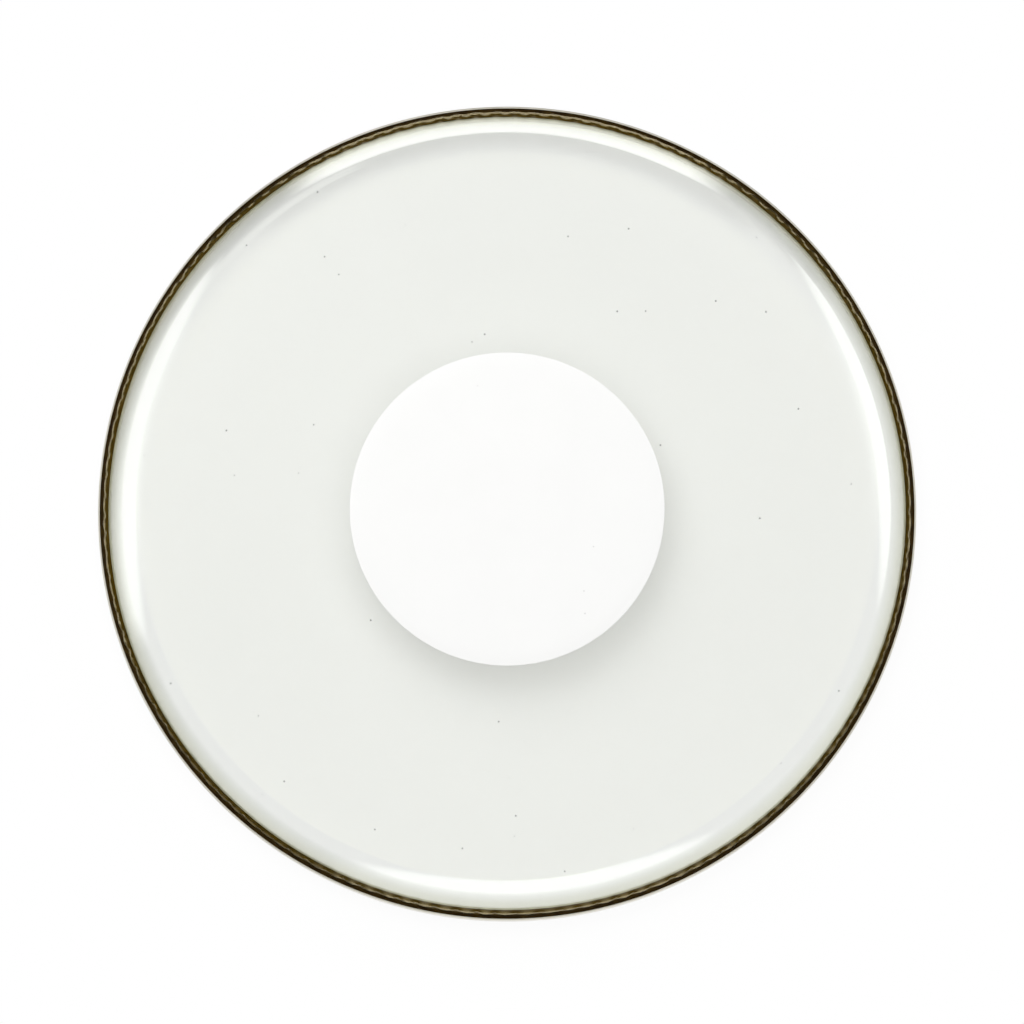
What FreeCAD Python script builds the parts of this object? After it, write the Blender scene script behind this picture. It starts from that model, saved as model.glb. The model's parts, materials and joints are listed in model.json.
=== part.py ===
import FreeCAD, Part
import math
import os
import Sketcher

# Drum head: two clear film plies with a formed collar, potted in a channel hoop, and a centre dot.
# Lengths are in millimetres. The origin is the centre of the hoop's bottom face, and +Z is the struck side.

DRIVING_SIZES = {
    # drum shell that the head is made for
    "shell_diameter": 355.6,
    "shell_clearance": 1.6,
    # roll-formed channel
    "channel_width": 5.6,
    "channel_height": 9.5,
    "channel_wall": 0.8,
    "corner_bevel": 0.6,
    # potting resin
    "resin_drop": 0.8,
    # film plies and their formed collar
    "film_thickness": 0.178,
    "collar_height": 12.5,
    "collar_angle": 45.0,
    "bend_radius": 10.0,
    "ledge_width": 1.0,
    "ledge_rise": 2.0,
    # crimped skirt that the resin holds
    "crimp_count": 127,
    "crimp_depth": 0.5,
    "skirt_floor_gap": 1.6,
    # centre dot
    "dot_diameter": 142.0,
    "dot_thickness": 0.19,
    "adhesive_thickness": 0.05,
}

# Sizes that follow from the driving ones
FOLLOWING_SIZES = {
    "hoop_inner_radius": "sizes.shell_diameter / 2 + sizes.shell_clearance",
    "hoop_outer_radius": "hoop_inner_radius + sizes.channel_width",
    "cavity_inner_radius": "hoop_inner_radius + sizes.channel_wall",
    "cavity_outer_radius": "hoop_outer_radius - sizes.channel_wall",
    "resin_height": "sizes.channel_height - sizes.resin_drop",
    "skirt_edge_height": "sizes.channel_wall + sizes.skirt_floor_gap",
    "skirt_radius": "(cavity_inner_radius + cavity_outer_radius) / 2 + sizes.film_thickness",
    "ledge_height": "sizes.channel_height + sizes.ledge_rise",
    "playing_height": "sizes.channel_height + sizes.collar_height",
    "bend_drop": "sizes.bend_radius * (1 - cos(sizes.collar_angle))",
    "bend_run": "sizes.bend_radius * sin(sizes.collar_angle)",
    "cone_drop": "playing_height - bend_drop - ledge_height",
    "cone_run": "cone_drop / tan(sizes.collar_angle)",
    "flat_radius": "skirt_radius - sizes.ledge_width - cone_run - bend_run",
    "dot_base_height": "playing_height + sizes.adhesive_thickness",
}

START, END = 1, 2
ORIGIN_POINT = (-1, 1)
X_AXIS, Y_AXIS = -1, -2


def fill_sheet(document, name, cells):
    """Writes each value beside its name, and makes the name the cell's alias."""
    sheet = document.addObject("Spreadsheet::Sheet", name)
    for row, (alias, value) in enumerate(cells.items(), start=1):
        sheet.set(f"A{row}", alias)
        sheet.set(f"B{row}", str(value))
        sheet.setAlias(f"B{row}", alias)
    document.recompute()
    return sheet


class Profile:
    """A sketch on one of a body's own origin planes, built edge by edge and sized from the sheets."""

    def __init__(self, body, plane_role):
        self.sketch = body.newObject("Sketcher::SketchObject", f"{body.Name}_profile")
        planes = body.Origin.OriginFeatures
        plane = next(feature for feature in planes if feature.Role == plane_role)
        self.sketch.AttachmentSupport = [(plane, "")]
        self.sketch.MapMode = "FlatFace"

    def line(self, start, end):
        first = FreeCAD.Vector(*start, 0)
        last = FreeCAD.Vector(*end, 0)
        return self.sketch.addGeometry(Part.LineSegment(first, last))

    def arc(self, centre, radius, from_degrees, to_degrees):
        circle = Part.Circle(FreeCAD.Vector(*centre, 0), FreeCAD.Vector(0, 0, 1), radius)
        start = math.radians(from_degrees)
        end = math.radians(to_degrees)
        return self.sketch.addGeometry(Part.ArcOfCircle(circle, start, end))

    def circle(self, radius):
        disc = Part.Circle(FreeCAD.Vector(0, 0, 0), FreeCAD.Vector(0, 0, 1), radius)
        return self.sketch.addGeometry(disc)

    def rule(self, *terms):
        self.sketch.addConstraint(Sketcher.Constraint(*terms))

    def chain(self, *edges):
        """Joins each edge's end to the next edge's start."""
        for edge, following in zip(edges, edges[1:]):
            self.rule("Coincident", edge, END, following, START)

    def close(self, edges):
        self.chain(*edges, edges[0])

    def level(self, *edges):
        for edge in edges:
            self.rule("Horizontal", edge)

    def upright(self, *edges):
        for edge in edges:
            self.rule("Vertical", edge)

    def size(self, name, expression, *terms):
        """Adds a dimension and binds it to the sheets."""
        index = self.sketch.addConstraint(Sketcher.Constraint(*terms))
        self.sketch.renameConstraint(index, name)
        self.sketch.setExpression(f"Constraints.{name}", expression)

    def across(self, name, expression, left, right, distance):
        self.size(name, expression, "DistanceX", *left, *right, distance)

    def up(self, name, expression, low, high, distance):
        self.size(name, expression, "DistanceY", *low, *high, distance)


def revolve(body, profile):
    """Turns a profile once round the vertical axis of its sketch."""
    ring = body.newObject("PartDesign::Revolution", f"{body.Name}_turned")
    ring.Profile = profile.sketch
    ring.ReferenceAxis = (profile.sketch, ["V_Axis"])
    ring.Angle = 360.0
    return ring


def value(sheet, alias):
    return float(getattr(sheet, alias))


def make_hoop_channel(document, sizes, layout):
    """The U-channel, open at the top, with bevelled bottom corners where the strip is bent."""
    body = document.addObject("PartDesign::Body", "hoop_channel")
    profile = Profile(body, "XZ_Plane")
    inner = value(layout, "hoop_inner_radius")
    outer = value(layout, "hoop_outer_radius")
    height = value(sizes, "channel_height")
    wall = value(sizes, "channel_wall")
    bevel = value(sizes, "corner_bevel")

    bottom = profile.line((inner + bevel, 0), (outer - bevel, 0))
    outer_bevel = profile.line((outer - bevel, 0), (outer, bevel))
    outer_face = profile.line((outer, bevel), (outer, height))
    outer_top = profile.line((outer, height), (outer - wall, height))
    outer_inside = profile.line((outer - wall, height), (outer - wall, wall))
    floor = profile.line((outer - wall, wall), (inner + wall, wall))
    inner_inside = profile.line((inner + wall, wall), (inner + wall, height))
    inner_top = profile.line((inner + wall, height), (inner, height))
    inner_face = profile.line((inner, height), (inner, bevel))
    inner_bevel = profile.line((inner, bevel), (inner + bevel, 0))
    loop = (
        bottom,
        outer_bevel,
        outer_face,
        outer_top,
        outer_inside,
        floor,
        inner_inside,
        inner_top,
        inner_face,
        inner_bevel,
    )
    profile.close(loop)
    profile.level(bottom, outer_top, floor, inner_top)
    profile.upright(outer_face, outer_inside, inner_inside, inner_face)
    profile.rule("PointOnObject", bottom, START, X_AXIS)
    profile.rule("Horizontal", outer_top, END, inner_top, START)

    profile.across("inner_radius", "layout.hoop_inner_radius", ORIGIN_POINT, (inner_face, START), inner)
    profile.across("outer_radius", "layout.hoop_outer_radius", ORIGIN_POINT, (outer_face, START), outer)
    profile.up("height", "sizes.channel_height", ORIGIN_POINT, (outer_top, START), height)
    profile.across("outer_wall", "sizes.channel_wall", (outer_top, END), (outer_top, START), wall)
    profile.across("inner_wall", "sizes.channel_wall", (inner_top, END), (inner_top, START), wall)
    profile.up("floor_wall", "sizes.channel_wall", ORIGIN_POINT, (floor, START), wall)
    profile.up("outer_bevel_rise", "sizes.corner_bevel", (outer_bevel, START), (outer_bevel, END), bevel)
    profile.across("outer_bevel_run", "sizes.corner_bevel", (outer_bevel, START), (outer_bevel, END), bevel)
    profile.up("inner_bevel_rise", "sizes.corner_bevel", (inner_bevel, END), (inner_bevel, START), bevel)
    profile.across("inner_bevel_run", "sizes.corner_bevel", (inner_bevel, START), (inner_bevel, END), bevel)
    revolve(body, profile)
    return body


def make_resin_fill(document, sizes, layout):
    """The resin as poured, a plain ring that fills the channel up to its level."""
    body = document.addObject("PartDesign::Body", "resin_fill")
    profile = Profile(body, "XZ_Plane")
    inner = value(layout, "cavity_inner_radius")
    outer = value(layout, "cavity_outer_radius")
    floor_height = value(sizes, "channel_wall")
    level = value(layout, "resin_height")

    floor = profile.line((inner, floor_height), (outer, floor_height))
    outside = profile.line((outer, floor_height), (outer, level))
    surface = profile.line((outer, level), (inner, level))
    inside = profile.line((inner, level), (inner, floor_height))
    profile.close((floor, outside, surface, inside))
    profile.level(floor, surface)
    profile.upright(outside, inside)
    profile.across("inner_radius", "layout.cavity_inner_radius", ORIGIN_POINT, (floor, START), inner)
    profile.across("outer_radius", "layout.cavity_outer_radius", ORIGIN_POINT, (floor, END), outer)
    profile.up("floor", "sizes.channel_wall", ORIGIN_POINT, (floor, START), floor_height)
    profile.up("level", "layout.resin_height", ORIGIN_POINT, (surface, START), level)
    revolve(body, profile)
    return body


def make_cap(document, sizes, layout, name, ply):
    """All that lies under one film face: flat, bend, cone and ledge, run out past the skirt.

    ply counts film thicknesses below the struck face: 0, 1 and 2 for the three faces of the two plies.
    """
    body = document.addObject("PartDesign::Body", name)
    profile = Profile(body, "XZ_Plane")
    depth = ply * value(sizes, "film_thickness")
    angle = value(sizes, "collar_angle")
    slope = math.radians(angle)
    top = value(layout, "playing_height") - depth
    bottom = value(layout, "skirt_edge_height")
    flat = value(layout, "flat_radius")
    bend = value(sizes, "bend_radius") - depth
    step = value(layout, "ledge_height") - depth
    reach = value(layout, "cavity_outer_radius")
    cone_start = (flat + bend * math.sin(slope), top - bend * (1 - math.cos(slope)))
    cone_end = (cone_start[0] + (cone_start[1] - step) / math.tan(slope), step)

    axis = profile.line((0, bottom), (0, top))
    face = profile.line((0, top), (flat, top))
    turn = profile.arc((flat, top - bend), bend, 90 - angle, 90)
    cone = profile.line(cone_start, cone_end)
    ledge = profile.line(cone_end, (reach, step))
    side = profile.line((reach, step), (reach, bottom))
    base = profile.line((reach, bottom), (0, bottom))
    profile.chain(cone, ledge, side, base, axis, face)
    profile.rule("Tangent", face, END, turn, END)
    profile.rule("Tangent", turn, START, cone, START)
    profile.level(face, ledge, base)
    profile.upright(axis, side)
    profile.rule("PointOnObject", axis, START, Y_AXIS)

    under = f"{ply} * sizes.film_thickness"
    profile.up("bottom", "layout.skirt_edge_height", ORIGIN_POINT, (axis, START), bottom)
    profile.up("top", f"layout.playing_height - {under}", ORIGIN_POINT, (axis, END), top)
    profile.up("step", f"layout.ledge_height - {under}", ORIGIN_POINT, (ledge, END), step)
    profile.across("flat", "layout.flat_radius", (face, START), (face, END), flat)
    profile.across("reach", "layout.cavity_outer_radius", ORIGIN_POINT, (side, START), reach)
    profile.size("bend", f"sizes.bend_radius - {under}", "Radius", turn, bend)
    profile.size("slope", "-sizes.collar_angle * 1 deg", "Angle", cone, -slope)
    revolve(body, profile)
    return body


def make_crimp_prism(document, sizes, layout, name, ply):
    """An upright prism whose sides are the pleats of one film face, from the skirt's edge to the flat."""
    mean = value(layout, "skirt_radius") - ply * value(sizes, "film_thickness")
    depth = value(sizes, "crimp_depth")
    folds = 2 * round(value(sizes, "crimp_count"))
    bottom = value(layout, "skirt_edge_height")
    corners = []
    for fold in range(folds):
        radius = mean + depth * (-1) ** fold
        angle = 2 * math.pi * fold / folds
        corners.append(FreeCAD.Vector(radius * math.cos(angle), radius * math.sin(angle), bottom))
    corners.append(corners[0])
    outline = document.addObject("Part::Feature", f"{name}_outline")
    outline.Shape = Part.Face(Part.makePolygon(corners))
    prism = document.addObject("Part::Extrusion", name)
    prism.Base = outline
    prism.DirMode = "Custom"
    prism.Dir = FreeCAD.Vector(0, 0, 1)
    prism.Solid = True
    prism.setExpression("LengthFwd", "layout.playing_height - layout.skirt_edge_height")
    return prism


def make_film_core(document, sizes, layout, ply):
    """The space under one film face, with the crimped skirt as its side."""
    core = document.addObject("Part::Common", f"film_core_{ply}")
    core.Base = make_cap(document, sizes, layout, f"film_cap_{ply}", ply)
    core.Tool = make_crimp_prism(document, sizes, layout, f"film_crimps_{ply}", ply)
    return core


def make_cut(document, name, base, tool):
    cut = document.addObject("Part::Cut", name)
    cut.Base = base
    cut.Tool = tool
    return cut


def make_disc(document, name, base_height, thickness):
    """A flat disc of the dot's diameter, from a base height on the playing surface."""
    body = document.addObject("PartDesign::Body", name)
    profile = Profile(body, "XY_Plane")
    disc = profile.circle(1.0)
    profile.rule("Coincident", disc, 3, *ORIGIN_POINT)
    profile.size("diameter", "sizes.dot_diameter", "Diameter", disc, 2.0)
    profile.sketch.setExpression("AttachmentOffset.Base.z", base_height)
    pad = body.newObject("PartDesign::Pad", f"{name}_pad")
    pad.Profile = profile.sketch
    pad.setExpression("Length", thickness)
    return body


def check_document(document, sub_parts):
    """Stops if any object failed, or any sub-part is not one valid solid."""
    for item in document.Objects:
        if "Invalid" in item.State or "Error" in item.State:
            raise RuntimeError(f"{item.Name} failed: {item.State}")
    for item in sub_parts:
        shape = item.Shape
        if shape.isNull() or not shape.isValid() or len(shape.Solids) != 1:
            raise RuntimeError(f"{item.Label} is not one valid solid")


def main():
    document = FreeCAD.newDocument("drum_head")
    sizes = fill_sheet(document, "sizes", DRIVING_SIZES)
    formulas = {alias: f"={formula}" for alias, formula in FOLLOWING_SIZES.items()}
    layout = fill_sheet(document, "layout", formulas)

    hoop_channel = make_hoop_channel(document, sizes, layout)
    struck_core = make_film_core(document, sizes, layout, 0)
    middle_core = make_film_core(document, sizes, layout, 1)
    under_core = make_film_core(document, sizes, layout, 2)
    top_ply = make_cut(document, "top_ply", struck_core, middle_core)
    bottom_ply = make_cut(document, "bottom_ply", middle_core, under_core)
    both_plies = make_cut(document, "both_plies", struck_core, under_core)
    resin_ring = make_cut(document, "resin_ring", make_resin_fill(document, sizes, layout), both_plies)
    dot_adhesive = make_disc(document, "dot_adhesive", "layout.playing_height", "sizes.adhesive_thickness")
    dot_film = make_disc(document, "dot_film", "layout.dot_base_height", "sizes.dot_thickness")

    document.recompute()
    sub_parts = (hoop_channel, resin_ring, bottom_ply, top_ply, dot_adhesive, dot_film)
    check_document(document, sub_parts)
    os.makedirs("parts", exist_ok=True)
    for item in sub_parts:
        item.Shape.exportStep(f"parts/{item.Label}.step")
        print(f"{item.Label}: {item.Shape.Volume:.1f} mm3, {len(item.Shape.Faces)} faces")


main()
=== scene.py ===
import json
import math
from collections import namedtuple

import bpy
import numpy as np
from mathutils import Matrix, Vector


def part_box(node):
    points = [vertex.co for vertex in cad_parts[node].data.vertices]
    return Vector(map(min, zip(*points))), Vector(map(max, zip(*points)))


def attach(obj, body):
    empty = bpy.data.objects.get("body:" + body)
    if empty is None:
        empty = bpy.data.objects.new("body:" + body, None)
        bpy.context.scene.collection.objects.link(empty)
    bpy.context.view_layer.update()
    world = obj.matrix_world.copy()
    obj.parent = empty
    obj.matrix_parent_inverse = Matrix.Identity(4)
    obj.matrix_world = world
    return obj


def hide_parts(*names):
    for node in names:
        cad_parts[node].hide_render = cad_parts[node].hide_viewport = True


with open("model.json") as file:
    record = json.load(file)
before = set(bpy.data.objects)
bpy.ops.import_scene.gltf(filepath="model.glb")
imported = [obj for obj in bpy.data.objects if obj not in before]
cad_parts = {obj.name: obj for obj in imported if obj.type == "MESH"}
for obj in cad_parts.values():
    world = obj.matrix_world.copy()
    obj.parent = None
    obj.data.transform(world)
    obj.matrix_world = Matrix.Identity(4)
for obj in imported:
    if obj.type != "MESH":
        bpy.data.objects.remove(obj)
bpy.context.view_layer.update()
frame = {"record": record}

# Drum head: two clear film plies, potted with their crimped skirts in a channel hoop, and a white dot.
# Lengths are in metres. The axis is Z, and every round piece is turned about it from a section.

MM = 0.001

# Sizes of the solids that their boxes don't give
BEND_RADIUS = 10.0 * MM
COLLAR_ANGLE = math.radians(45.0)
LEDGE_WIDTH = 1.0 * MM
LEDGE_RISE = 2.0 * MM
CRIMP_COUNT = 127
CRIMP_DEPTH = 0.5 * MM


def outer_radius(node):
    """The largest circle about the axis that a round node's box holds."""
    low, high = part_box(node)
    return min(-low.x, -low.y, high.x, high.y)


# Sizes read from the frame
MOUNTS = {mount["name"]: mount for mount in frame["record"]["mounts"]}
HOOP_INNER = MOUNTS["shell_bore"]["dims"]["r_mm"] * MM
HOOP_OUTER = outer_radius("hoop_channel")
HOOP_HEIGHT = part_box("hoop_channel")[1].z
CAVITY_OUTER = outer_radius("resin_ring")
RESIN_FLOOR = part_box("resin_ring")[0].z
RESIN_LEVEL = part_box("resin_ring")[1].z
WALL = HOOP_OUTER - CAVITY_OUTER
CAVITY_INNER = HOOP_INNER + WALL
PLAYING_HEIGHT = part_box("top_ply")[1].z
SKIRT_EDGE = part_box("top_ply")[0].z
SKIRT_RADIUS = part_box("top_ply")[1].x - CRIMP_DEPTH
FILM_THICKNESS = PLAYING_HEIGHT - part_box("bottom_ply")[1].z
DOT_RADIUS = outer_radius("dot_film")
DOT_LOW, DOT_HIGH = (corner.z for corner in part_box("dot_film"))
BOND_RADIUS = outer_radius("dot_adhesive")
BOND_LOW, BOND_HIGH = (corner.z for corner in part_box("dot_adhesive"))

# Sizes that follow from those
LEDGE_HEIGHT = HOOP_HEIGHT + LEDGE_RISE
BEND_RUN = BEND_RADIUS * math.sin(COLLAR_ANGLE)
BEND_DROP = BEND_RADIUS * (1 - math.cos(COLLAR_ANGLE))
CONE_RUN = (PLAYING_HEIGHT - BEND_DROP - LEDGE_HEIGHT) / math.tan(COLLAR_ANGLE)
CONE_FOOT = SKIRT_RADIUS - LEDGE_WIDTH
FLAT_RADIUS = CONE_FOOT - CONE_RUN - BEND_RUN

# Fine forms of the film: an eased run into the bend, a bowed cone, and a ledge that slopes from toe to fold
EASE_RADIUS = 120.0 * MM
EASE_ANGLE = math.radians(4.0)
CONE_BOW = math.radians(4.0)
TOE_RADIUS = 0.6 * MM
TOE_SHIFT = 0.6 * MM
LEDGE_ANGLE = math.radians(34.0)
FOLD_RADIUS = 0.4 * MM
FOLD_SHIFT = 0.2 * MM
AIR_GAP = 0.02 * MM

# Pleats: how far they lift the film, and their share of the full wave from the cone's foot to the skirt
CRIMP_LIFT = 0.15 * MM
CONE_FOOT_SHARE = 0.2
LEDGE_SHARE = 0.35
FOLD_SHARE = 0.5
CONE_FADE_POWER = 5

# Unevenness of the pleats: cycles of slow change round the hoop, in pitch (radians) and in depth
PLEAT_SEED = 14
CHANGE_CYCLES = (3, 5, 8, 13, 21, 34)
EXTRA_DEPTH_CYCLES = 4
PITCH_CHANGE = 0.35
DEPTH_CHANGE = 0.08
MEAN_PLEAT = 0.8
LEAST_PLEAT = 0.45
ZIGZAG_SHARPNESS = 0.94

# Fine forms of the resin, the hoop, the dot and its adhesive
MENISCUS = 0.35 * MM
MENISCUS_POWER = 3
CORNER_RADIUS = 0.8 * MM
LIP_RADIUS = 0.12 * MM
SEAM_DIRECTION = math.radians(266.7)
SEAM_WIDTH = 0.35 * MM
SEAM_DEPTH = 0.15 * MM
SEAM_FLOOR_SHARE = 0.4
DOT_EDGE_RADIUS = 0.07 * MM
BOND_GAP = 0.005 * MM

# Steps round the axis and along the section
CRIMP_STEPS = 9
HOOP_STEPS = 720
DOT_STEPS = 360
EASE_STEPS = 4
BEND_STEPS = 12
CONE_STEPS = 8
TOE_STEPS = 4
FOLD_STEPS = 5
SKIRT_ROWS = 4
RESIN_ROWS = 9
CORNER_STEPS = 6
LIP_STEPS = 5
FLAT_SHARES = (0.1, 0.55)
DOT_SHARES = (0.2, 0.9)

# Edges stay sharp above these angles, in degrees
RING_CREASE = 40
FILM_CREASE = 50
DOT_CREASE = 60


# Meshes turned about the axis

def arc(centre, radius, start, end, steps):
    """Points on an arc between two directions in degrees, both ends included."""
    turns = np.radians(np.linspace(start, end, steps + 1))
    return [(centre[0] + radius * math.cos(turn), centre[1] + radius * math.sin(turn)) for turn in turns]


def even_angles(steps):
    return np.linspace(0, 2 * math.pi, steps, endpoint=False)


def turned_points(section, angles, wave):
    """Places a section at every angle. Its rows are radius, height and the shares of the wave in both."""
    section = np.array(section)
    radius = section[:, 0] + np.outer(wave * CRIMP_DEPTH, section[:, 2])
    height = section[:, 1] + np.outer(wave * CRIMP_LIFT, section[:, 3])
    across = radius * np.cos(angles)[:, None]
    along = radius * np.sin(angles)[:, None]
    return np.stack([across, along, height], axis=2)


def skin(points, closed):
    """Faces over a grid of points, one row for each angle. Sections run anticlockwise, so faces point out."""
    angles, count = points.shape[:2]
    faces = []
    for turn in range(angles):
        here = turn * count
        there = (turn + 1) % angles * count
        for step in range(count if closed else count - 1):
            after = (step + 1) % count
            faces.append((here + step, there + step, there + after, here + after))
    return faces


def new_piece(name, vertices, faces, crease):
    """A smooth-shaded mesh piece with edges kept sharp above the crease angle."""
    mesh = bpy.data.meshes.new(name)
    mesh.from_pydata(vertices, [], faces)
    mesh.validate()
    mesh.shade_smooth()
    mesh.set_sharp_from_angle(angle=math.radians(crease))
    piece = bpy.data.objects.new(name, mesh)
    bpy.context.scene.collection.objects.link(piece)
    return piece


def ring_piece(name, points):
    """A closed ring from the points of a closed section at every angle."""
    return new_piece(name, points.reshape(-1, 3).tolist(), skin(points, closed=True), RING_CREASE)


def disc_piece(name, points, crease):
    """A closed disc from an open section that starts near the axis below and ends near it above."""
    angles, count = points.shape[:2]
    vertices = points.reshape(-1, 3).tolist()
    faces = skin(points, closed=False)
    low_centre = len(vertices)
    high_centre = low_centre + 1
    vertices.append((0, 0, points[0, 0, 2]))
    vertices.append((0, 0, points[0, -1, 2]))
    for turn in range(angles):
        here = turn * count
        there = (turn + 1) % angles * count
        faces.append((low_centre, there, here))
        faces.append((high_centre, here + count - 1, there + count - 1))
    return new_piece(name, vertices, faces, crease)


def settle(piece, slot, material, *nodes):
    """Gives a piece its material and its body, and hides the nodes it stands for. The slot is not used."""
    piece.data.materials.append(material)
    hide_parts(*nodes)
    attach(piece, "root")


# Film plies

def crimp_wave(angles):
    """The pleats of the skirt: a rounded zigzag within 1, whose pitch and depth vary along the hoop."""
    random = np.random.default_rng(PLEAT_SEED)
    drift = np.zeros_like(angles)
    strength = np.zeros_like(angles)
    for cycles in CHANGE_CYCLES:
        drift += PITCH_CHANGE * np.sin(cycles * angles + random.uniform(0, 2 * math.pi))
        depth_cycles = cycles + EXTRA_DEPTH_CYCLES
        strength += DEPTH_CHANGE * np.sin(depth_cycles * angles + random.uniform(0, 2 * math.pi))
    wave = np.sin(CRIMP_COUNT * angles + drift)
    zigzag = np.arcsin(ZIGZAG_SHARPNESS * wave) / math.asin(ZIGZAG_SHARPNESS)
    return np.clip(MEAN_PLEAT + strength, LEAST_PLEAT, 1.0) * zigzag


def meeting_point(first, first_lean, second, second_lean):
    """Where two lines cross that pass through a point each and fall outwards at a lean each."""
    falls = np.array([[math.cos(lean), -math.sin(lean)] for lean in (first_lean, second_lean)]).T
    shares = np.linalg.solve(falls * (1, -1), np.subtract(second, first))
    return np.add(first, shares[0] * falls[:, 0])


def bowed_line(first, first_lean, second, second_lean, steps):
    """Points between two points on a curve that leaves and arrives at the given leans, ends left out."""
    middle = meeting_point(first, first_lean, second, second_lean)
    start, end = np.array(first), np.array(second)
    points = []
    for step in np.linspace(0, 1, steps + 2)[1:-1]:
        point = (1 - step) ** 2 * start + 2 * step * (1 - step) * middle + step ** 2 * end
        points.append(tuple(point))
    return points


def toe_corner():
    """Where the lines of the cone and of the ledge would meet on the struck face, as radius and height."""
    return CONE_FOOT + TOE_SHIFT, LEDGE_HEIGHT - TOE_SHIFT * math.tan(COLLAR_ANGLE)


def film_collar(depth):
    """The flat, the eased bend, the cone and the toe of one film face, as four lists of points."""
    upper_lean = COLLAR_ANGLE - CONE_BOW
    lower_lean = COLLAR_ANGLE + CONE_BOW
    slack = EASE_RADIUS - BEND_RADIUS
    ease_centre = (FLAT_RADIUS - slack * math.sin(EASE_ANGLE), PLAYING_HEIGHT - EASE_RADIUS)
    bend_centre = (FLAT_RADIUS, PLAYING_HEIGHT - BEND_RADIUS - slack * (1 - math.cos(EASE_ANGLE)))
    toe_reach, toe_level = toe_corner()
    toe_run = TOE_RADIUS * math.tan((lower_lean - LEDGE_ANGLE) / 2)
    toe_centre = (toe_reach - toe_run * math.cos(lower_lean) + TOE_RADIUS * math.sin(lower_lean),
                  toe_level + toe_run * math.sin(lower_lean) + TOE_RADIUS * math.cos(lower_lean))

    ease_turn, upper, lower, ledge = np.degrees([EASE_ANGLE, upper_lean, lower_lean, LEDGE_ANGLE])
    flat = [(share * FLAT_RADIUS, PLAYING_HEIGHT - depth) for share in FLAT_SHARES]
    bend = arc(ease_centre, EASE_RADIUS - depth, 90, 90 - ease_turn, EASE_STEPS)
    bend += arc(bend_centre, BEND_RADIUS - depth, 90 - ease_turn, 90 - upper, BEND_STEPS)[1:]
    toe = arc(toe_centre, TOE_RADIUS + depth, 270 - lower, 270 - ledge, TOE_STEPS)
    cone = bowed_line(bend[-1], upper_lean, toe[0], lower_lean, CONE_STEPS)
    return flat, bend, cone, toe


def film_fold(depth):
    """The fold between ledge and skirt on one film face."""
    toe_reach, toe_level = toe_corner()
    middle = SKIRT_RADIUS + FOLD_SHIFT - FOLD_RADIUS
    run = middle + FOLD_RADIUS * math.sin(LEDGE_ANGLE) - toe_reach
    height = toe_level - run * math.tan(LEDGE_ANGLE) - FOLD_RADIUS * math.cos(LEDGE_ANGLE)
    return arc((middle, height), FOLD_RADIUS - depth, 90 - math.degrees(LEDGE_ANGLE), 0, FOLD_STEPS)


def waved(points, shares):
    """Section rows that take a share of the wave each, both outwards and upwards."""
    return [(*point, share, share) for point, share in zip(points, shares)]


def film_face(depth):
    """One film face from the middle to the skirt's edge, at a depth below the struck face."""
    flat, bend, cone, toe = film_collar(depth)
    fold = film_fold(depth)
    skirt_heights = np.linspace(RESIN_LEVEL + MENISCUS, SKIRT_EDGE, SKIRT_ROWS)
    rows = [(*point, 0.0, 0.0) for point in flat + bend]
    rows += waved(cone, CONE_FOOT_SHARE * np.linspace(0, 1, len(cone)) ** CONE_FADE_POWER)
    rows += waved(toe, np.linspace(CONE_FOOT_SHARE, LEDGE_SHARE, len(toe)))
    rows += waved(fold, np.linspace(LEDGE_SHARE, FOLD_SHARE, len(fold)))
    rows += [(SKIRT_RADIUS - depth, height, 1.0, 0.0) for height in skirt_heights]
    return rows


def film_ply(name, upper_depth, lower_depth, material, node):
    """One ply, between two depths below the struck face."""
    angles = even_angles(CRIMP_COUNT * CRIMP_STEPS)
    section = film_face(lower_depth) + film_face(upper_depth)[::-1]
    points = turned_points(section, angles, crimp_wave(angles))
    settle(disc_piece(name, points, FILM_CREASE), "clear_film", material, node)


# Potting resin

def resin_surface(start, end, start_share, end_share):
    """The resin's top across one gap, drawn up a little where it wets the walls."""
    rows = []
    for step in np.linspace(0, 1, RESIN_ROWS):
        radius = start + step * (end - start)
        height = RESIN_LEVEL + MENISCUS * abs(2 * step - 1) ** MENISCUS_POWER
        rows.append((radius, height, start_share + step * (end_share - start_share), 0.0))
    return rows


def resin_ring(material):
    """The resin that fills the channel, with the slot that the two skirts stand in."""
    angles = even_angles(CRIMP_COUNT * CRIMP_STEPS)
    slot_outer = SKIRT_RADIUS
    slot_inner = SKIRT_RADIUS - 2 * FILM_THICKNESS
    section = [(CAVITY_INNER, RESIN_FLOOR, 0.0, 0.0), (CAVITY_OUTER, RESIN_FLOOR, 0.0, 0.0)]
    section += resin_surface(CAVITY_OUTER, slot_outer, 0.0, 1.0)
    section += [(slot_outer, SKIRT_EDGE, 1.0, 0.0), (slot_inner, SKIRT_EDGE, 1.0, 0.0)]
    section += resin_surface(slot_inner, CAVITY_INNER, 1.0, 0.0)
    points = turned_points(section, angles, crimp_wave(angles))
    settle(ring_piece("potting_ring", points), "potting_resin", material, "resin_ring")


# Channel hoop

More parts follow.
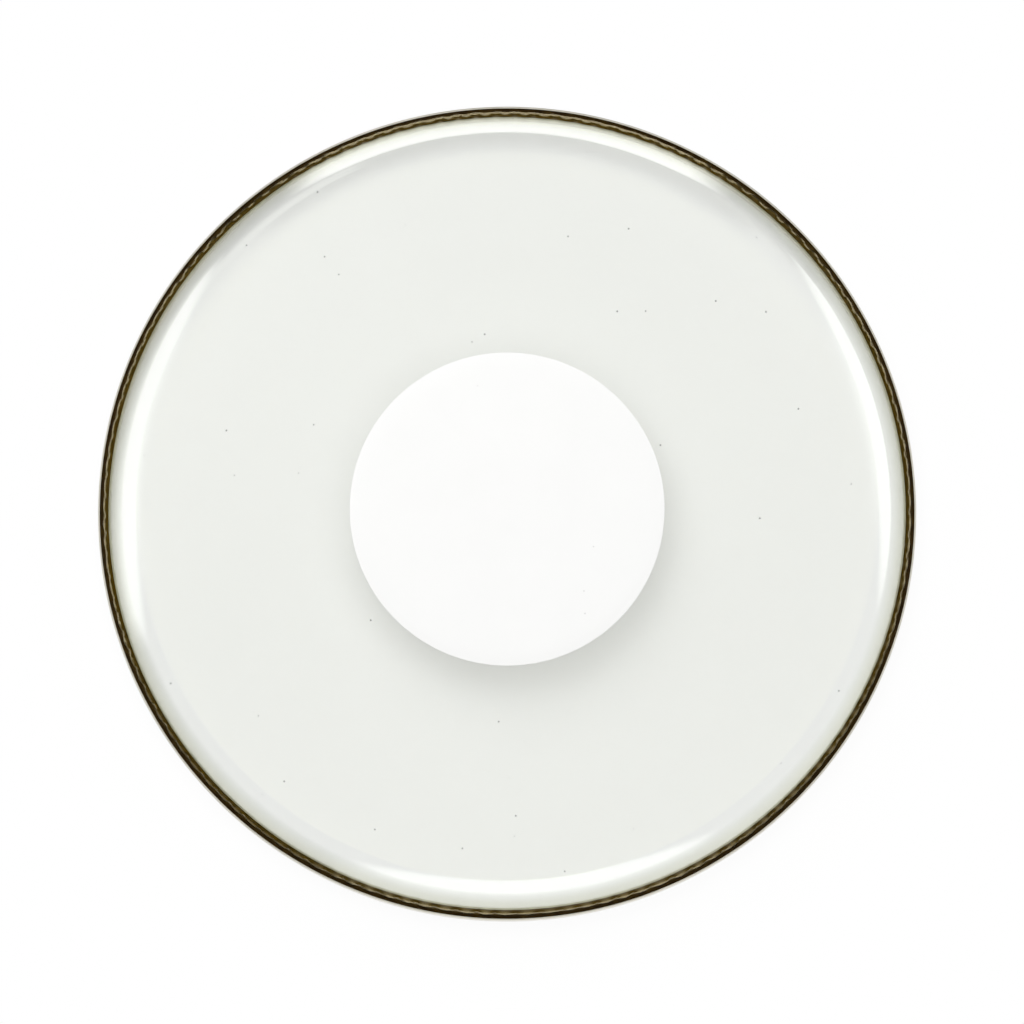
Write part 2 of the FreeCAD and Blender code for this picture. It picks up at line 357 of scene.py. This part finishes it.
def hoop_section():
    """The U of the channel, with bent bottom corners and rounded lips."""
    corner = CORNER_RADIUS
    lip = LIP_RADIUS
    rim = HOOP_HEIGHT - lip
    section = arc((HOOP_OUTER - corner, corner), corner, 270, 360, CORNER_STEPS)
    section += arc((HOOP_OUTER - lip, rim), lip, 0, 90, LIP_STEPS)
    section += arc((CAVITY_OUTER + lip, rim), lip, 90, 180, LIP_STEPS)
    section += [(CAVITY_OUTER, RESIN_FLOOR), (CAVITY_INNER, RESIN_FLOOR)]
    section += arc((CAVITY_INNER - lip, rim), lip, 0, 90, LIP_STEPS)
    section += arc((HOOP_INNER + lip, rim), lip, 90, 180, LIP_STEPS)
    section += arc((HOOP_INNER + corner, corner), corner, 180, 270, CORNER_STEPS)
    return np.array(section)


def inset(section, depth):
    """A closed section with every point moved inwards by a depth."""
    run = np.roll(section, -1, axis=0) - np.roll(section, 1, axis=0)
    run /= np.linalg.norm(run, axis=1)[:, None]
    inwards = np.stack([-run[:, 1], run[:, 0]], axis=1)
    return section + depth * inwards


def hoop(material):
    """The channel, with the fine groove where the ends of its strip meet."""
    half = SEAM_WIDTH / 2 / HOOP_OUTER
    full = hoop_section()
    cut = inset(full, SEAM_DEPTH)
    plain = even_angles(HOOP_STEPS)
    plain = plain[np.abs(plain - SEAM_DIRECTION) > 2 * half]
    stations = [(angle, full) for angle in plain]
    for side in (-1, 1):
        stations.append((SEAM_DIRECTION + side * half, full))
        stations.append((SEAM_DIRECTION + side * SEAM_FLOOR_SHARE * half, cut))
    stations.sort(key=lambda station: station[0])
    rows = []
    for angle, section in stations:
        across = section[:, 0] * math.cos(angle)
        along = section[:, 0] * math.sin(angle)
        rows.append(np.stack([across, along, section[:, 1]], axis=1))
    settle(ring_piece("channel_hoop", np.stack(rows)), "channel_metal", material, "hoop_channel")


# Centre dot

def plain_disc(name, section):
    """A disc turned from a plain section, with no wave in it."""
    angles = even_angles(DOT_STEPS)
    rows = [(*point, 0.0, 0.0) for point in section]
    return disc_piece(name, turned_points(rows, angles, np.zeros_like(angles)), DOT_CREASE)


def dot(material):
    """The white disc at the centre, with a rounded upper edge."""
    edge = DOT_EDGE_RADIUS
    section = [(share * DOT_RADIUS, DOT_LOW) for share in (*DOT_SHARES, 1.0)]
    section += arc((DOT_RADIUS - edge, DOT_HIGH - edge), edge, 0, 90, LIP_STEPS)
    section += [(share * DOT_RADIUS, DOT_HIGH) for share in reversed(DOT_SHARES)]
    settle(plain_disc("centre_dot", section), "white_film", material, "dot_film")


def bond(material):
    """The adhesive under the dot, a hair away from the two faces that it joins."""
    reaches = [share * BOND_RADIUS for share in (*DOT_SHARES, 1.0)]
    section = [(reach, BOND_LOW + BOND_GAP) for reach in reaches]
    section += [(reach, BOND_HIGH - BOND_GAP) for reach in reversed(reaches)]
    settle(plain_disc("dot_bond", section), "adhesive", material, "dot_adhesive")


# Shader nodes

# Most of a noise texture lies between these values
NOISE_LOW, NOISE_HIGH = 0.3, 0.7

# Specks of dust: how far apart and how wide they are at most, and the share of the width that is full
DUST_SPACING = 13.0 * MM
DUST_SIZE = 0.9 * MM
DUST_CORE = 0.7


class Nodes:
    """The shader nodes of one tree, made by small helpers. Most of them return the socket that they make."""

    def __init__(self, tree):
        self.tree = tree
        tree.nodes.clear()

    def node(self, kind, **settings):
        made = self.tree.nodes.new("ShaderNode" + kind)
        for setting, value in settings.items():
            setattr(made, setting, value)
        return made

    def link(self, source, target):
        self.tree.links.new(source, target)

    def feed(self, target, value):
        """Links a socket, or sets a plain value."""
        if isinstance(value, bpy.types.NodeSocket):
            self.link(value, target)
        else:
            target.default_value = value

    def math(self, operation, *values):
        made = self.node("Math", operation=operation)
        for socket, value in zip(made.inputs, values):
            self.feed(socket, value)
        return made.outputs[0]

    def vector(self, operation, *values):
        made = self.node("VectorMath", operation=operation)
        for socket, value in zip(made.inputs, values):
            self.feed(socket, value)
        return made.outputs["Value" if operation in ("LENGTH", "DOT_PRODUCT") else "Vector"]

    def remap(self, value, low, high, to_low, to_high, interpolation="LINEAR"):
        made = self.node("MapRange", interpolation_type=interpolation)
        self.feed(made.inputs["Value"], value)
        for name, number in (("From Min", low), ("From Max", high), ("To Min", to_low), ("To Max", to_high)):
            made.inputs[name].default_value = number
        return made.outputs["Result"]

    def edge(self, cosine, angle, softness):
        """A soft step at an angle in degrees: 0 where the cosine tells of a wider angle, 1 of a narrower."""
        low, high = math.cos(math.radians(angle + softness)), math.cos(math.radians(angle - softness))
        return self.remap(cosine, low, high, 0.0, 1.0, "SMOOTHSTEP")

    def colours(self, value, stops):
        """A colour ramp of (place, colour) stops."""
        made = self.node("ValToRGB")
        self.feed(made.inputs["Fac"], value)
        elements = made.color_ramp.elements
        while len(elements) < len(stops):
            elements.new(1.0)
        for element, (place, colour) in zip(elements, stops):
            element.position = place
            element.color = (*colour, 1.0)
        return made.outputs["Color"]

    def upright(self, place):
        """The Z of a place or a direction."""
        parts = self.node("SeparateXYZ")
        self.link(place, parts.inputs[0])
        return parts.outputs["Z"]

    def mix(self, share, first, second):
        """The node that mixes two shaders."""
        made = self.node("MixShader")
        self.feed(made.inputs["Fac"], share)
        self.link(first.outputs[0], made.inputs[1])
        self.link(second.outputs[0], made.inputs[2])
        return made


class Finish(Nodes):
    """A node material."""

    def __init__(self, name):
        self.material = bpy.data.materials.new(name)
        self.material.use_nodes = True
        super().__init__(self.material.node_tree)
        self.output = self.node("OutputMaterial")

    def object_place(self):
        return self.node("TexCoord").outputs["Object"]

    def noise(self, vector, scale, detail=3.0, roughness=0.55):
        made = self.node("TexNoise")
        self.feed(made.inputs["Vector"], vector)
        made.inputs["Scale"].default_value = scale
        made.inputs["Detail"].default_value = detail
        made.inputs["Roughness"].default_value = roughness
        return made.outputs["Fac"]

    def spread(self, noise, low, high):
        """A noise carried over to a range of values."""
        return self.remap(noise, NOISE_LOW, NOISE_HIGH, low, high)

    def tones(self, noise, dark, light):
        """A noise as a colour between two."""
        return self.colours(noise, [(NOISE_LOW, dark), (NOISE_HIGH, light)])

    def bump(self, height, strength, distance):
        made = self.node("Bump")
        made.inputs["Strength"].default_value = strength
        made.inputs["Distance"].default_value = distance
        self.feed(made.inputs["Height"], height)
        return made.outputs["Normal"]

    def dusty(self, colour, darkest):
        """A colour with a few specks of dust, which lie where the surface cuts scattered grains."""
        grains = self.node("TexVoronoi")
        self.link(self.object_place(), grains.inputs["Vector"])
        grains.inputs["Scale"].default_value = 1 / DUST_SPACING
        size = DUST_SIZE / DUST_SPACING / 2
        shade = self.remap(grains.outputs["Distance"], DUST_CORE * size, size, darkest, 1.0)
        made = self.node("VectorMath", operation="SCALE")
        self.link(colour, made.inputs[0])
        self.link(shade, made.inputs["Scale"])
        return made.outputs[0]

    def reach(self, place):
        """How far a place lies from the axis."""
        return self.vector("LENGTH", self.vector("MULTIPLY", place, (1.0, 1.0, 0.0)))

    def round_place(self, turns, across):
        """Coordinates that run round the axis: the angle times turns, then radius and height times across."""
        place = self.object_place()
        parts = self.node("SeparateXYZ")
        self.link(place, parts.inputs[0])
        x, y, z = parts.outputs
        joined = self.node("CombineXYZ")
        self.link(self.math("MULTIPLY", self.math("ARCTAN2", y, x), turns), joined.inputs[0])
        self.link(self.math("MULTIPLY", self.reach(place), across), joined.inputs[1])
        self.link(self.math("MULTIPLY", z, across), joined.inputs[2])
        return joined.outputs[0]

    def principled(self, **inputs):
        made = self.node("BsdfPrincipled")
        for name, value in inputs.items():
            socket = made.inputs[name.replace("_", " ")]
            if isinstance(value, tuple):
                value = (*value, 1.0)
            self.feed(socket, value)
        return made

    def finish(self, shader):
        self.link(shader.outputs[0], self.output.inputs["Surface"])
        return self.material


# Materials

FILM_IOR = 1.62
# Near the foot the film's mirror is tinted warm over this height, a painted reflection of the amber resin
FOOT_REFLECTION_SPAN = 1.5 * MM
WARM_RESIN_REFLECTION = (1.0, 0.86, 0.58)
MIRROR_COLOUR = (0.97, 0.98, 0.97)
# Colours that the film lets through, by the height from the resin to the top of the cone. Towards the resin
# they darken and yellow, a painted reflection of the dark resin; the faint green at the top is the film's own
# tint.
FILM_TINTS_AND_RESIN_REFLECTION = [
    (0.4, (0.961, 0.964, 0.935)),
    (0.85, (0.98, 0.984, 0.975)),
    (1.0, (0.993, 0.9955, 0.992)),
]
# Brightness of a speck of dust on the film and on the dot
FILM_DUST = 0.8
DOT_DUST = 0.75
# The resin's colours; their dark end also serves as painted shade outside the skirt
RESIN_AND_SHADE_COLOURS = [(0.15, (0.016, 0.008, 0.001)), (0.85, (0.115, 0.07, 0.006))]
RESIN_NOISE_SHARE = 0.4
STRIP_LINE_SHARE = 0.6


def clear_film_finish():
    """Clear polyester: a mirror share by angle over a faintly tinted, see-through film. Near the resin its
    mirror turns warm and what it lets through darkens, painted reflection of the resin.
    """
    finish = Finish("clear_film")
    place = finish.object_place()
    height = finish.upright(place)
    back = finish.node("NewGeometry").outputs["Backfacing"]
    mirror = finish.node("Fresnel")
    finish.link(finish.math("MULTIPLY_ADD", back, 1 / FILM_IOR - FILM_IOR, FILM_IOR), mirror.inputs["IOR"])
    gloss = finish.spread(finish.noise(place, scale=60.0, detail=1.0), 0.02, 0.07)
    # Painted reflection: the mirror's colour turns warm towards the resin
    foot = finish.remap(height, LEDGE_HEIGHT, LEDGE_HEIGHT + FOOT_REFLECTION_SPAN, 0.0, 1.0)
    warm_reflection = finish.colours(foot, [(0.0, WARM_RESIN_REFLECTION), (1.0, MIRROR_COLOUR)])
    surface = finish.principled(Base_Color=warm_reflection, Metallic=1.0, Roughness=gloss)
    # Painted reflection: lower on the collar the film lets through darker, yellower light, as if it mirrored
    # the dark resin
    resin_reflection_rise = finish.remap(height, RESIN_LEVEL, PLAYING_HEIGHT - BEND_DROP, 0.0, 1.0)
    clear = finish.node("BsdfTransparent")
    finish.link(finish.dusty(finish.colours(resin_reflection_rise, FILM_TINTS_AND_RESIN_REFLECTION), FILM_DUST), clear.inputs["Color"])
    return finish.finish(finish.mix(mirror.outputs[0], clear, surface))


def resin_finish():
    """Dark amber casting resin, a little uneven, with painted shade that makes it darker outside the skirt,
    in the narrow gap by the outer wall, than inside.
    """
    finish = Finish("potting_resin")
    place = finish.object_place()
    inner, outer = SKIRT_RADIUS - CRIMP_DEPTH, SKIRT_RADIUS + CRIMP_DEPTH
    # Painted shade: outside the skirt the tone drops towards the dark end of the ramp
    side = finish.remap(finish.reach(place), inner, outer, 1.0 - RESIN_NOISE_SHARE, 0.0)
    tone = finish.math("MULTIPLY_ADD", finish.noise(place, scale=260.0, detail=4.0), RESIN_NOISE_SHARE, side)
    colour = finish.colours(tone, RESIN_AND_SHADE_COLOURS)
    gloss = finish.spread(finish.noise(place, scale=500.0), 0.12, 0.3)
    bump = finish.bump(finish.noise(place, scale=700.0, detail=2.0), strength=0.35, distance=0.2 * MM)
    resin = finish.principled(Base_Color=colour, Roughness=gloss, Normal=bump, Specular_IOR_Level=0.05)
    return finish.finish(resin)


def channel_finish():
    """Satin aluminium with fine drawing lines along the strip."""
    finish = Finish("channel_metal")
    lines = finish.noise(finish.round_place(turns=18.0, across=9000.0), scale=1.0)
    blotches = finish.noise(finish.object_place(), scale=120.0)
    rest = finish.math("MULTIPLY", blotches, 1.0 - STRIP_LINE_SHARE)
    tone = finish.math("MULTIPLY_ADD", lines, STRIP_LINE_SHARE, rest)
    colour = finish.tones(tone, (0.66, 0.64, 0.58), (0.84, 0.815, 0.745))
    gloss = finish.spread(tone, 0.24, 0.42)
    bump = finish.bump(lines, strength=0.15, distance=0.02 * MM)
    return finish.finish(finish.principled(Base_Color=colour, Metallic=1.0, Roughness=gloss, Normal=bump))


def white_film_finish():
    """Opaque white polyester with a satin surface."""
    finish = Finish("white_film")
    place = finish.object_place()
    tone = finish.noise(place, scale=45.0, detail=4.0)
    colour = finish.dusty(finish.tones(tone, (0.945, 0.945, 0.935), (0.96, 0.96, 0.95)), DOT_DUST)
    gloss = finish.spread(finish.noise(place, scale=220.0), 0.36, 0.5)
    bump = finish.bump(finish.noise(place, scale=1400.0, detail=2.0), strength=0.05, distance=0.02 * MM)
    return finish.finish(finish.principled(Base_Color=colour, Roughness=gloss, Normal=bump))


def adhesive_finish():
    """Milky transfer adhesive, seen only through the plies from below."""
    finish = Finish("adhesive")
    tone = finish.noise(finish.object_place(), scale=80.0, detail=4.0)
    colour = finish.tones(tone, (0.84, 0.84, 0.81), (0.91, 0.91, 0.89))
    return finish.finish(finish.principled(Base_Color=colour, Roughness=0.6))


# Floor

# Its own white is the share that doesn't depend on the lamps, under the film and at the hoop. It rises across
# the hoop as painted light, which washes out most of the hoop's shadow round it.
FLOOR_RADIUS = 1.22 * HOOP_OUTER
FLOOR_DROP = 0.02 * MM
FLOOR_OWN_WHITE = 0.4
FLOOR_PAINTED_LIGHT_WHITE = 0.93


def floor_finish():
    """A white sweep that keeps the object's shadow under the film, while painted light washes out most of the
    hoop's shadow round it. Part of its white is its own, for what looks at it.

    From below it is clear, so that the underside can be seen.
    """
    finish = Finish("floor")
    tone = finish.noise(finish.object_place(), scale=6.0, detail=2.0)
    colour = finish.colours(tone, [(0.0, (0.97, 0.97, 0.97)), (1.0, (0.98, 0.98, 0.98))])
    matt = finish.principled(Base_Color=colour, Roughness=0.9, Specular_IOR_Level=0.0)
    white = finish.node("Emission")
    white.inputs["Color"].default_value = (1.0, 1.0, 1.0, 1.0)
    white.inputs["Strength"].default_value = 1.0
    path = finish.node("LightPath")
    looks = finish.math("MAXIMUM", path.outputs["Is Camera Ray"], path.outputs["Is Glossy Ray"])
    looks = finish.math("MAXIMUM", looks, path.outputs["Is Transmission Ray"])
    reach = finish.reach(finish.object_place())
    # Painted light: across the hoop the floor's own white rises, which washes out most of the hoop's shadow
    # round it
    inside = finish.remap(reach, HOOP_INNER, HOOP_OUTER, FLOOR_OWN_WHITE, FLOOR_PAINTED_LIGHT_WHITE)
    fade = finish.remap(reach, HOOP_OUTER, FLOOR_RADIUS, 0.0, 1.0 - FLOOR_PAINTED_LIGHT_WHITE)
    own = finish.math("ADD", inside, fade)
    above = finish.mix(finish.math("MULTIPLY", looks, own), matt, white)
    back = finish.node("NewGeometry").outputs["Backfacing"]
    return finish.finish(finish.mix(back, above, finish.node("BsdfTransparent")))


def stage_floor():
    """A round floor that fades into the white round it."""
    angles = even_angles(DOT_STEPS)
    rim = [(FLOOR_RADIUS * math.cos(angle), FLOOR_RADIUS * math.sin(angle), -FLOOR_DROP) for angle in angles]
    mesh = bpy.data.meshes.new("floor")
    mesh.from_pydata(rim, [], [tuple(range(len(rim)))])
    floor = bpy.data.objects.new("floor", mesh)
    bpy.context.scene.collection.objects.link(floor)
    mesh.materials.append(floor_finish())


# Studio light

# The camera stands almost overhead and leans a little towards the near side
CAMERA_LEAN = math.radians(6.0)

# Soft panels, with angles in degrees: their direction, half width at the horizon and how much they narrow
# upwards, where they start from the line that the flat film mirrors, where they end from overhead, how soft
# that end is, and their brightness. Each covers those before it.
Panel = namedtuple("Panel", "azimuth half_width taper start end end_softness brightness")
PANELS = (
    Panel(90.0, 40.0, 0.0, 7.0, 54.0, 5.0, 0.06),
    Panel(48.0, 18.0, 0.0, 50.0, 97.0, 5.0, 0.14),
    Panel(132.0, 18.0, 0.0, 50.0, 97.0, 5.0, 0.08),
    Panel(132.0, 18.0, 0.0, 22.0, 62.0, 18.0, 0.65),
    Panel(220.0, 30.0, 0.0, 20.0, 82.0, 12.0, 0.5),
    Panel(320.0, 75.0, 0.0, 20.0, 90.0, 5.0, 0.57),
    Panel(14.0, 27.0, 0.1, 9.0, 81.0, 3.0, 1.6),
    Panel(90.0, 37.0, 0.6, 56.0, 96.0, 4.0, 2.0),
    Panel(169.0, 29.0, 0.1, 10.0, 87.0, 5.0, 1.6),
    Panel(275.0, 25.0, 0.1, 15.0, 79.0, 4.0, 1.6),
)
PANEL_SIDE_SOFTNESS = 4.0
PANEL_START_SOFTNESS = 5.0

# The dome brightens from the horizon upwards, to a ceiling round the overhead direction
ROOM_LEVELS = (0.01, 0.55)
ROOM_SPAN = (90.0, 20.0)
CEILING_LEVEL = 0.75
CEILING_REACH = 11.0
CEILING_SOFTNESS = 4.0
WHITE = (1.0, 1.0, 1.0)
HORIZON_COLOUR = (1.0, 0.995, 0.95)
CEILING_COLOUR = (1.0, 0.995, 0.85)
# Colours of the dome by the angle from overhead
DOME_COLOURS = (
    (90.0, HORIZON_COLOUR),
    (78.0, WHITE),
    (CEILING_REACH + CEILING_SOFTNESS, WHITE),
    (CEILING_REACH - CEILING_SOFTNESS, CEILING_COLOUR),
)


def dome_level(sky, upright):
    """The brightness of the dome and its ceiling."""
    low, high = (math.cos(math.radians(polar)) for polar in ROOM_SPAN)
    room = sky.remap(upright, low, high, *ROOM_LEVELS)
    ceiling = sky.edge(upright, CEILING_REACH, CEILING_SOFTNESS)
    return sky.math("ADD", room, sky.math("MULTIPLY", ceiling, CEILING_LEVEL - ROOM_LEVELS[1]))


def panel_share(sky, panel, heading, distance, upright):
    """Where a panel is: 1 inside its outline and 0 outside, with soft edges."""
    turn = math.radians(panel.azimuth)
    facing = sky.vector("DOT_PRODUCT", heading, (math.cos(turn), math.sin(turn), 0.0))
    narrowing = sky.math("MULTIPLY", sky.math("SUBTRACT", 1.0, distance), panel.taper)
    sides = sky.edge(sky.math("SUBTRACT", facing, narrowing), panel.half_width, PANEL_SIDE_SOFTNESS)
    begin = sky.edge(distance, 90.0 - panel.start, PANEL_START_SOFTNESS)
    stop = sky.edge(upright, panel.end, panel.end_softness)
    return sky.math("MULTIPLY", sky.math("MULTIPLY", sides, begin), stop)


def studio_light():
    """What gloss mirrors: a dim dome, a bright ceiling and soft panels. The camera's own rays see white."""
    world = bpy.data.worlds.new("studio")
    bpy.context.scene.world = world
    world.use_nodes = True
    world.cycles_visibility.diffuse = False
    sky = Nodes(world.node_tree)

    direction = sky.node("TexCoord").outputs["Generated"]
    upright = sky.upright(direction)
    level = sky.vector("MULTIPLY_ADD", direction, (1.0, 1.0, 0.0), (0.0, -math.sin(CAMERA_LEAN), 0.0))
    heading = sky.vector("NORMALIZE", level)
    distance = sky.vector("LENGTH", level)
    total = dome_level(sky, upright)
    for panel in PANELS:
        shown = panel_share(sky, panel, heading, distance, upright)
        change = sky.math("SUBTRACT", panel.brightness, total)
        total = sky.math("ADD", total, sky.math("MULTIPLY", shown, change))

    mirrored = sky.node("Background")
    stops = [(math.cos(math.radians(polar)), colour) for polar, colour in DOME_COLOURS]
    sky.link(sky.colours(upright, stops), mirrored.inputs["Color"])
    sky.link(total, mirrored.inputs["Strength"])
    plain = sky.node("Background")
    plain.inputs["Color"].default_value = (*WHITE, 1.0)
    mix = sky.mix(sky.node("LightPath").outputs["Is Camera Ray"], mirrored, plain)
    sky.link(mix.outputs[0], sky.node("OutputWorld").inputs["Surface"])


# Soft disc lamps: direction and angle from overhead in degrees, then distance, width and power
Lamp = namedtuple("Lamp", "name azimuth polar distance width power")
LAMPS = (
    Lamp("key", 112.0, 42.0, 3.0, 3.0, 56.0),
    Lamp("fill", 0.0, 0.0, 3.0, 5.0, 90.0),
)


def soft_lamp(lamp):
    """A disc lamp aimed at the origin. Gloss doesn't show it, because the dome holds what is mirrored."""
    data = bpy.data.lights.new(lamp.name, "AREA")
    data.shape = "DISK"
    data.size = lamp.width
    data.energy = lamp.power
    made = bpy.data.objects.new(lamp.name, data)
    azimuth, polar = math.radians(lamp.azimuth), math.radians(lamp.polar)
    level = Vector((math.cos(azimuth), math.sin(azimuth), 0.0))
    outwards = math.sin(polar) * level + Vector((0.0, 0.0, math.cos(polar)))
    made.location = lamp.distance * outwards
    made.rotation_euler = outwards.to_track_quat("Z", "Y").to_euler()
    made.visible_glossy = False
    made.visible_camera = False
    bpy.context.scene.collection.objects.link(made)


# Camera, in the photograph's place
CAMERA_DISTANCE = 4.5
FRAME_WIDTH = 462.9 * MM
SENSOR_WIDTH = 36.0
VIEW_DEPTH = 50.0
AIM = Vector((2.2 * MM, -0.11 * MM, HOOP_HEIGHT))


def camera():
    """A long lens almost overhead, aimed at the middle of the frame."""
    data = bpy.data.cameras.new("camera")
    data.sensor_width = SENSOR_WIDTH
    data.lens = SENSOR_WIDTH * CAMERA_DISTANCE / FRAME_WIDTH
    data.clip_end = VIEW_DEPTH
    eye = bpy.data.objects.new("camera", data)
    right = Vector((1.0, 0.0, 0.0))
    up = Vector((0.0, math.cos(CAMERA_LEAN), math.sin(CAMERA_LEAN)))
    back = Vector((0.0, -math.sin(CAMERA_LEAN), math.cos(CAMERA_LEAN)))
    turn = Matrix((right, up, back)).transposed().to_4x4()
    eye.matrix_world = Matrix.Translation(AIM + CAMERA_DISTANCE * back) @ turn
    bpy.context.scene.collection.objects.link(eye)
    bpy.context.scene.camera = eye


# A ray through the head passes many film faces
FILM_PASSES = 32


def main():
    scene = bpy.context.scene
    scene.view_settings.view_transform = "Standard"
    scene.cycles.transparent_max_bounces = FILM_PASSES

    film = clear_film_finish()
    film_ply("film_top", 0.0, FILM_THICKNESS - AIR_GAP / 2, film, "top_ply")
    film_ply("film_bottom", FILM_THICKNESS + AIR_GAP / 2, 2 * FILM_THICKNESS, film, "bottom_ply")
    resin_ring(resin_finish())
    hoop(channel_finish())
    dot(white_film_finish())
    bond(adhesive_finish())

    stage_floor()
    studio_light()
    for lamp in LAMPS:
        soft_lamp(lamp)
    camera()


main()
